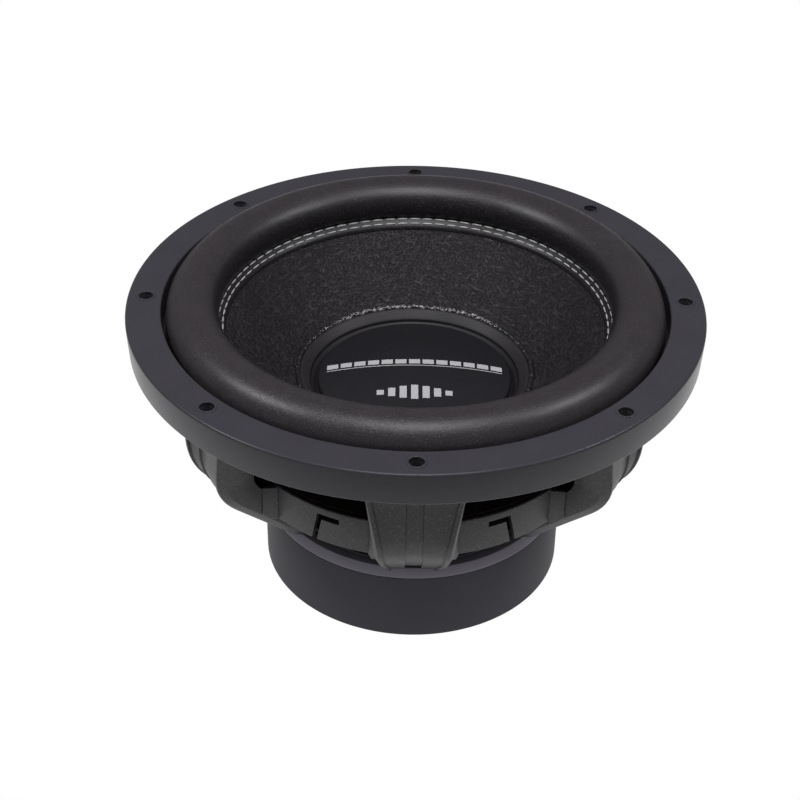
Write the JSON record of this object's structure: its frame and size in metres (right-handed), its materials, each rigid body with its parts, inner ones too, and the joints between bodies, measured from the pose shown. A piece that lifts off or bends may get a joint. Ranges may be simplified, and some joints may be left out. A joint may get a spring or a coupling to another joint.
{
  "type": "car subwoofer speaker",
  "caption": "Large car subwoofer: paper cone on a half-roll surround, ribbed cast basket, rubber-booted magnet and push terminals.",
  "frame": {"origin": "centre of the magnet rest face, at the bottom of the bounding box", "axes": "+Z out of the cone along the axis of the speaker; -Y is the front in the picture; the terminals are on the +Y side"},
  "size_m": [0.32, 0.32, 0.1826],
  "materials": {
    "trim_rubber": "matte, soft sheen",
    "basket_paint": "satin black powder coat on a cast alloy",
    "surround_foam": "matte speckled foam rubber",
    "cone_paper": "matte fibrous pressed pulp",
    "cap_plastic": "satin",
    "cap_ring_rubber": "matte",
    "boot_rubber": "smooth matte",
    "plated_steel": "zinc plated, turned",
    "ferrite": "matte ground",
    "coil_copper": "enamelled copper wire",
    "copper_sleeve": "bare copper",
    "former_polymer": "glass fibre former, satin",
    "spider_cloth": "resin treated woven cloth",
    "tinsel": "braided copper tinsel",
    "phenolic": "phenolic board",
    "nickel": "nickel plated brass",
    "button_red": "satin",
    "button_black": "satin",
    "black_steel": "black oxide steel",
    "screen_steel": "black perforated sheet"
  },
  "bodies": {
    "frame": {"gasket_ring": "trim_rubber", "basket": "basket_paint", "surround": "surround_foam", "spider": "spider_cloth", "top_plate": "plated_steel", "magnet_upper": "ferrite", "magnet_lower": "ferrite", "t_yoke": "plated_steel", "shorting_ring": "copper_sleeve", "magnet_boot": "boot_rubber", "vent_screen": "screen_steel", "basket_bolt_1": "black_steel", "basket_bolt_2": "black_steel", "basket_bolt_3": "black_steel", "basket_bolt_4": "black_steel", "terminal_board_1": "phenolic", "terminal_board_2": "phenolic", "terminal_post_1": "nickel", "terminal_spring_1": "plated_steel", "solder_tag_1": "nickel", "tinsel_lead_1": "tinsel", "board_screw_1": "black_steel", "terminal_post_2": "nickel", "terminal_spring_2": "plated_steel", "solder_tag_2": "nickel", "tinsel_lead_2": "tinsel", "board_screw_2": "black_steel", "terminal_post_3": "nickel", "terminal_spring_3": "plated_steel", "solder_tag_3": "nickel", "tinsel_lead_3": "tinsel", "board_screw_3": "black_steel", "terminal_post_4": "nickel", "terminal_spring_4": "plated_steel", "solder_tag_4": "nickel", "tinsel_lead_4": "tinsel", "board_screw_4": "black_steel"},
    "cone_assembly": {"cone": "cone_paper", "cap_trim_ring": "cap_ring_rubber", "dust_cap": "cap_plastic", "voice_coil_former": "former_polymer", "voice_coil_winding": "coil_copper"},
    "button_1": {"terminal_button_1": "button_red"},
    "button_2": {"terminal_button_2": "button_black"},
    "button_3": {"terminal_button_3": "button_red"},
    "button_4": {"terminal_button_4": "button_black"}
  },
  "joints": [
    {"name": "cone_excursion", "type": "slide", "parent": "frame", "child": "cone_assembly", "axis": [0, 0, 1], "range_m": [-0.014, 0.014], "stiffness_N_per_m": 7000, "springref_m": 0.00028, "deforming": ["surround", "spider", "tinsel_lead_1", "tinsel_lead_2", "tinsel_lead_3", "tinsel_lead_4"]},
    {"name": "button_1_push", "type": "slide", "parent": "frame", "child": "button_1", "axis": [0, 0, 1], "range_m": [0, 0.003], "stiffness_N_per_m": 1000, "deforming": ["terminal_spring_1"]},
    {"name": "button_2_push", "type": "slide", "parent": "frame", "child": "button_2", "axis": [0, 0, 1], "range_m": [0, 0.003], "stiffness_N_per_m": 1000, "deforming": ["terminal_spring_2"]},
    {"name": "button_3_push", "type": "slide", "parent": "frame", "child": "button_3", "axis": [0, 0, 1], "range_m": [0, 0.003], "stiffness_N_per_m": 1000, "deforming": ["terminal_spring_3"]},
    {"name": "button_4_push", "type": "slide", "parent": "frame", "child": "button_4", "axis": [0, 0, 1], "range_m": [0, 0.003], "stiffness_N_per_m": 1000, "deforming": ["terminal_spring_4"]}
  ]
}
